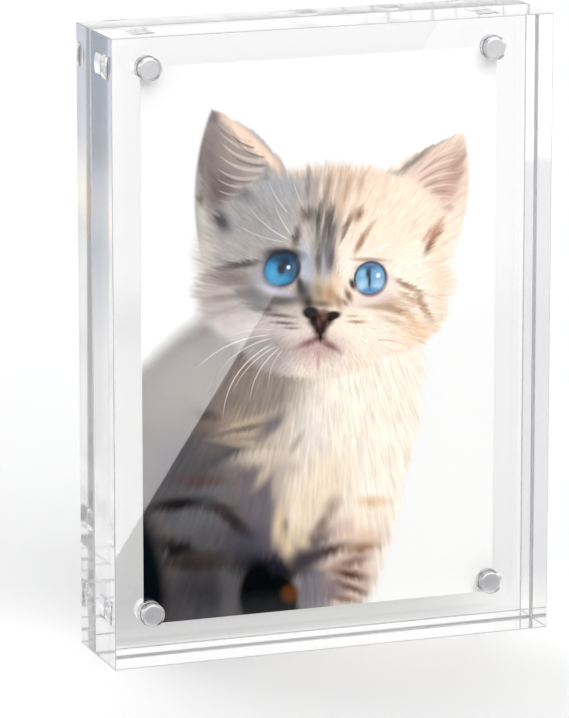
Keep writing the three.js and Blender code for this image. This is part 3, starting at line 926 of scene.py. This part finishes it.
def combed(at, centre, count, shortness, reach, seed):
    # Combs the paper outwards from a centre, so that the edges of the spots on it turn to fur.
    across, up = at[0] - centre[0], at[1] - centre[1]
    away = (across * across + up * up).maths("SQRT")
    across, up = across / away, up / away
    along = away.maths("LOGARITHM", math.e) * shortness + seed
    ring = across.node("ShaderNodeCombineXYZ", values={"X": across * count, "Y": up * count, "Z": along})
    hair = noise(ring, 1.0, 4.0, 0.6)
    shift = (hair - 0.5) * reach
    return (at[0] + across * shift, at[1] + up * shift), hair


def furred(colour, hair, depth):
    # Darker between the hairs and lighter along them.
    tone = (hair - 0.44) * depth + 1
    values = {"Factor": 1.0, "A": colour, "B": tone}
    return colour.node("ShaderNodeMix", {"data_type": "RGBA", "blend_type": "MULTIPLY"}, values)


def paintPicture(shade, middle):
    # middle is the sheet's middle in metres.
    spotGroup()
    hairGroup()
    point = ownPoint(shade)
    x, z = parts(point, 0, 2)
    at = (x - middle[0]) / mm, (z - middle[1]) / mm
    cloud = noise(point, 50, 2.0) - 0.5

    # The body, behind the head.
    fur, hair = combed(at, *picture["bodyComb"])
    lit = step(at[0] + at[1] * 0.12 + cloud * 24, *picture["bodyLight"])
    colour = colourMix(lit, ink(*picture["shadedBody"]), ink(*picture["litBody"]))
    colour = painted(colour, fur, picture["body"])
    colour = painted(colour, fur, picture["legs"])
    halfCombed = [0.65 * a + 0.35 * f for a, f in zip(at, fur)]
    colour = painted(colour, halfCombed, picture["tufts"])
    colour = furred(colour, hair, 0.9)
    colour = painted(colour, at, picture["dark"])
    sheet = colourMix(outline(fur, picture["bodyShape"], 0.08), ink(*picture["white"]), colour)

    # The ears.
    fur, hair = combed(at, *picture["headComb"])
    lit = step(at[0] + cloud * 20, *picture["headLight"])
    coat = colourMix(lit, ink(*picture["shadedCoat"]), ink(*picture["litCoat"]))
    colour = painted(coat, fur, picture["leftEar"])
    colour = painted(colour, fur, picture["rightEar"])
    colour = furred(colour, hair, 0.7)
    colour = drawnHairs(colour, at, picture["earHairs"])
    outer, upper = picture["leftEarEdges"]
    left = besideEdge(at, *outer) * besideEdge(fur, *upper) * (at[0] < -8.0)
    upper, outer = picture["rightEarEdges"]
    right = besideEdge(fur, *upper) * (at[0] > 14.0) * besideEdge(at, *outer)
    ears = (left + right) * step(at[1], 18, 24)
    sheet = colourMix(ears, sheet, colour)

    # The head.
    colour = painted(coat, fur, picture["coat"])
    colour = painted(colour, fur, picture["forehead"])
    fine, fineHair = combed(at, *picture["faceComb"])
    colour = painted(colour, fine, picture["muzzle"])
    colour = furred(colour, hair, 0.7)
    colour = furred(colour, fineHair, 0.5)
    sheet = colourMix(outline(fur, picture["headShape"], 0.07), sheet, colour)
    sheet = painted(sheet, at, picture["nose"])
    sheet = painted(sheet, at, picture["leftEye"])
    sheet = painted(sheet, at, picture["rightEye"])
    return drawnHairs(sheet, at, picture["whiskers"])


def pictureMaterial():
    material, shade = newMaterial("printed picture")
    low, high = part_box("photo_print")
    middle = (low + high) / 2
    colour = paintPicture(shade, (middle.x, middle.z))
    sheet = shade.node("ShaderNodeBsdfPrincipled", values={
        "Base Color": colour, "Roughness": paper["pictureRough"], "Specular IOR Level": 0.0,
    })
    surface(shade, sheet)
    return material


sheet = makePrint()
sheet.data.materials.append(paperMaterial())
sheet.data.materials.append(pictureMaterial())
for face in sheet.data.polygons:
    face.material_index = 1 if face.normal.y < -0.9 else 0
print("print made")


# The studio

view = {
    "azimuth": -20.04,     # degrees, 0 looks along +Y
    "elevation": 12.86,
    "distance": 1.411,
    "target": (-0.00896, 0.0, 0.07815),
    "lens": 261.6,         # millimetres, and so is the sensor
    "sensor": 36,
    "bounces": 32,         # thick clear blocks need many
}

studio = {
    "floorSize": 12.0,
    "floorDrop": 0.03 * mm,         # air under the blocks' feet
    "floorColour": 0.8,
    "floorLift": 0.15,              # light that the floor adds for the eye, so that it reads white
    "worldLight": 0.3,
    "backFade": (-0.5, 0.2),        # the room turns from its dim front to its white back between these
    "horizon": (0.74, 0.76, 0.80),  # the dim front of the room, as the blocks and magnets mirror it
    "paintedSoftBox": 2.4,                 # a large soft box painted into the room above, seen only in reflections inside the blocks
    "boxHeight": (0.10, 0.40),
    "boxFront": (0.1, -0.2),
    "mirrorStart": (-0.02, -0.06),  # where the painted reflections on the floor in front begin
    "glowLine": ((-0.020, -0.137), (0.274, -0.710)),    # right-hand edge of a bright card's painted reflection there
    "glowSharp": 0.5 * mm,
    "glowFade": (-0.36, -0.52),     # the painted glow and the painted dark strip beside it fade between these
    "glowEnd": (-0.10, -0.085),     # its left-hand edge, to the left of the frame
    "glowBright": 7.0,
    "glowBeyond": 0.2,
    "darkReflectionNear": 0.0,
    "darkReflectionFar": 1.3,
    "darkReflectionInside": 0.5,              # how much of it the front block's own back face mirrors
    "magnetReflection": 1.1,              # painted reflection of the floor in the magnets, from dark near the frame to this
    "magnetReflectionFade": (-0.02, -0.09),
}

# Painted reflections: the colours that the floor and the room glow with for rays reflected many times
# inside the blocks, which the blocks' edges show; by distance on the floor in metres.
paintedGuidedLight = {
    "reach": 0.7,
    "under": 1.15,                  # a painted bright floor right under the blocks, which the top faces show
    "underReach": 0.02,
    "up": (0.80, 0.80, 0.27, 1.2),  # upwards to the front, to the back, along the seam, out of the top
    "toFront": ((0.00, (0.82, 0.82, 0.82)), (0.20, (0.90, 0.90, 0.89)), (0.25, (0.76, 0.76, 0.77)),
                (0.28, (0.90, 0.90, 0.90)), (0.38, (0.90, 0.90, 0.90)), (0.44, (0.75, 0.75, 0.76)),
                (0.49, (1.16, 1.04, 0.88)), (0.54, (0.95, 0.94, 0.92)), (0.62, (0.57, 0.62, 0.74))),
    "toBack": ((0.00, (0.80, 0.80, 0.80)), (0.24, (0.85, 0.85, 0.86)), (0.35, (0.62, 0.63, 0.66)),
               (0.42, (0.46, 0.51, 0.58)), (0.48, (0.62, 0.62, 0.65)), (0.54, (0.50, 0.53, 0.60)),
               (0.59, (0.23, 0.29, 0.38))),
    "rearToBack": ((0.00, (0.22, 0.22, 0.23)), (0.45, (0.15, 0.15, 0.15)), (0.51, (0.42, 0.20, 0.12)),
                   (0.57, (0.22, 0.22, 0.24))),
}

# Painted shadow: where the floor behind the blocks is dimmer, for what they show straight through and by
# one side.
behind = {
    "straight": (0.66, 0.66, 0.66),
    "start": (0.015, 0.020),
    "fade": (0.07, -0.04),         # metres to the right of the middle, as the camera looks
    "reach": (0.49, 0.38),
    "mirrored": (0.86, 0.86, 0.89),
    "mirroredStart": (0.03, 0.06),
    "edge": (0.647, 0.637),
}

# Large soft lamps, as far away as the sun so that they light the whole floor alike. Spread is in degrees.
lamps = {
    "key light": {"from": (0.10, -0.74, 0.64), "spread": 56, "power": 2.0},
    "back light": {"from": (0.0, 0.62, 0.78), "spread": 40, "power": 1.25},
    "fill light": {"from": (-0.60, -0.70, 0.40), "spread": 60, "power": 0.6},
}


def lightPath(shade, output):
    return shade.node("ShaderNodeLightPath", output=output)


def eyeRays(shade):
    # 1 for rays that end in the eye, straight or by way of metal and glass.
    camera = lightPath(shade, "Is Camera Ray")
    glossy = lightPath(shade, "Is Glossy Ray")
    through = lightPath(shade, "Is Transmission Ray")
    return camera.maths("MAXIMUM", glossy).maths("MAXIMUM", through)


def paintedFloorReflections(shade, x, y):
    # Painted reflections: how bright the floor glows for rays that one surface mirrors. The faces see a
    # bright card beside a dark strip, and the magnets a floor that is dark near the frame.
    (x0, y0), (x1, y1) = studio["glowLine"]
    length = math.hypot(x1 - x0, y1 - y0)
    across = ((x - x0) * (y0 - y1) + (y - y0) * (x1 - x0)) / length
    left = step(across, studio["glowSharp"], -studio["glowSharp"])
    near = step(y, studio["glowFade"][1], studio["glowFade"][0])
    bright = near * (studio["glowBright"] - studio["glowBeyond"]) + studio["glowBeyond"]
    darkReflection = near * (studio["darkReflectionNear"] - studio["darkReflectionFar"]) + studio["darkReflectionFar"]
    first = left * bright + (1 - left) * darkReflection
    passed = lightPath(shade, "Transmission Depth")
    inside = passed > 0.5
    metal = passed > 2.5
    inner = darkReflection * studio["darkReflectionInside"]
    # The magnets see a painted reflection, dark near the frame.
    magnetReflection = step(y, *studio["magnetReflectionFade"]) * studio["magnetReflection"]
    return first * (1 - inside) + inner * (inside - metal) + magnetReflection * metal


def paintedGuidedRamp(distance, stops):
    reach = paintedGuidedLight["reach"]
    return distance.node("ShaderNodeValToRGB", {"stops": [(at / reach, colour) for at, colour in stops]},
                         {0: distance / reach}, "Color")


def lookingAside(x, y):
    # How far a place on the floor is to the right of the frame, in front of it or behind it.
    return x - abs(y) * math.tan(math.radians(-view["azimuth"]))


def paintedShadowBehind(shade, top, x, y):
    # Painted shadow on the floor behind, which shows only through both blocks and by way of their
    # right-hand side.
    bounces = lightPath(shade, "Glossy Depth")
    passed = lightPath(shade, "Transmission Depth") > 3.5
    straight = step(lookingAside(x, y), *behind["fade"]) * step(y, *behind["reach"])
    straight = straight * step(y, *behind["start"])
    straight = straight * passed * (bounces < 0.5)
    mirrored = step(y, *behind["edge"]) * step(y, *behind["mirroredStart"]) * passed
    mirrored = mirrored * (bounces > 0.5) * (bounces < 3.5)
    for amount, colour in ((straight, behind["straight"]), (mirrored, behind["mirrored"])):
        dim = shade.node("ShaderNodeEmission", values={"Color": (*colour, 1)})
        top = shade.node("ShaderNodeMixShader", values={0: amount, 1: top, 2: dim})
    return top


def makeFloor():
    nothingSelected()
    bpy.ops.mesh.primitive_plane_add(size=studio["floorSize"], location=(0, 0, -studio["floorDrop"]))
    floor = bpy.context.object
    floor.name = "studio_floor"
    settle(floor)
    material, shade = newMaterial("pale floor")
    grey = studio["floorColour"]
    x, y = parts(ownPoint(shade), 0, 1)
    bounces = lightPath(shade, "Glossy Depth")
    # Painted reflections for rays reflected many times inside the blocks.
    distance = abs(y)
    back = colourMix(bounces > 7.5, paintedGuidedRamp(distance, paintedGuidedLight["toBack"]),
                     paintedGuidedRamp(distance, paintedGuidedLight["rearToBack"]))
    edges = colourMix(y > 0, paintedGuidedRamp(distance, paintedGuidedLight["toFront"]), back)
    under = (distance < paintedGuidedLight["underReach"]) * (abs(x) < cadBox[1][0])
    edges = colourMix(under, edges, [paintedGuidedLight["under"]] * 3)
    edges = shade.node("ShaderNodeEmission", values={"Color": edges})
    mirrored = shade.node("ShaderNodeEmission", values={"Strength": paintedFloorReflections(shade, x, y)})
    top = shade.node("ShaderNodeBsdfPrincipled", values={
        "Base Color": (grey, grey, grey, 1), "Roughness": 0.9, "Specular IOR Level": 0.0,
        "Emission Color": (1, 1, 1, 1), "Emission Strength": eyeRays(shade) * studio["floorLift"],
    })
    # Rays that a face mirrors once see the painted reflections in place of the floor.
    once = (bounces > 0.5) * (bounces < 1.5) * step(y, *studio["mirrorStart"])
    once = once * step(lookingAside(x, y), *studio["glowEnd"])
    top = shade.node("ShaderNodeMixShader", values={0: once, 1: top, 2: mirrored})
    top = shade.node("ShaderNodeMixShader", values={0: bounces > 3.5, 1: top, 2: edges})
    top = paintedShadowBehind(shade, top, x, y)
    surface(shade, top)
    floor.data.materials.append(material)


def makeWorld():
    world = bpy.data.worlds.new("studio")
    bpy.context.scene.world = world
    world.use_nodes = True
    world.node_tree.nodes.clear()
    shade = Shade(world.node_tree)
    direction = shade.node("ShaderNodeTexCoord", output="Generated")
    dy, dz = parts(direction, 1, 2)
    bounces = lightPath(shade, "Glossy Depth")
    room = colourMix(step(dy, *studio["backFade"]), studio["horizon"], (1, 1, 1))
    # A soft box painted into the room, which only rays reflected inside the blocks see.
    box = step(dz, *studio["boxHeight"]) * step(dy, *studio["boxFront"])
    box = box * (bounces > 0.5) * (bounces < 2.5)
    box = box * (lightPath(shade, "Transmission Depth") > 2.5)
    room = colourMix(box, room, [studio["paintedSoftBox"]] * 3)
    # The painted guided light upwards, by how often a ray was reflected.
    toFront, toBack, alongSeam, throughTop = [[grey] * 3 for grey in paintedGuidedLight["up"]]
    edges = colourMix(dy > 0, toFront, colourMix(bounces > 8.5, toBack, alongSeam))
    edges = colourMix(bounces > 12.5, edges, throughTop)
    room = colourMix(bounces > 3.5, room, edges)
    room = colourMix(lightPath(shade, "Is Camera Ray"), room, (1, 1, 1))
    strength = eyeRays(shade) * (1 - studio["worldLight"]) + studio["worldLight"]
    light = shade.node("ShaderNodeBackground", values={"Color": room, "Strength": strength})
    shade.node("ShaderNodeOutputWorld", values={"Surface": light})


def addLamp(name, lamp):
    nothingSelected()
    bpy.ops.object.light_add(type="SUN", location=lamp["from"])
    light = bpy.context.object
    light.name = name
    light.data.energy = lamp["power"]
    light.data.angle = math.radians(lamp["spread"])
    light.visible_glossy = False            # metal and glass mirror the room instead
    light.visible_transmission = False
    light.rotation_euler = Vector(lamp["from"]).to_track_quat("Z", "Y").to_euler()


makeFloor()
makeWorld()
for name, lamp in lamps.items():
    addLamp(name, lamp)
print("studio made")


# The camera

def makeCamera():
    azimuth = math.radians(view["azimuth"])
    elevation = math.radians(view["elevation"])
    back = Vector((math.sin(azimuth) * math.cos(elevation), -math.cos(azimuth) * math.cos(elevation),
                   math.sin(elevation)))
    nothingSelected()
    bpy.ops.object.camera_add(location=Vector(view["target"]) + back * view["distance"])
    camera = bpy.context.object
    camera.rotation_euler = back.to_track_quat("Z", "Y").to_euler()
    camera.data.lens = view["lens"]
    camera.data.sensor_width = view["sensor"]
    camera.data.clip_end = 100
    bpy.context.scene.camera = camera


makeCamera()
scene = bpy.context.scene
scene.view_settings.view_transform = "Standard"
scene.cycles.sampling_pattern = "TABULATED_SOBOL"      # even grain, which the denoiser clears
for limit in ("max_bounces", "transmission_bounces", "glossy_bounces", "transparent_max_bounces"):
    setattr(scene.cycles, limit, view["bounces"])
print("camera set")
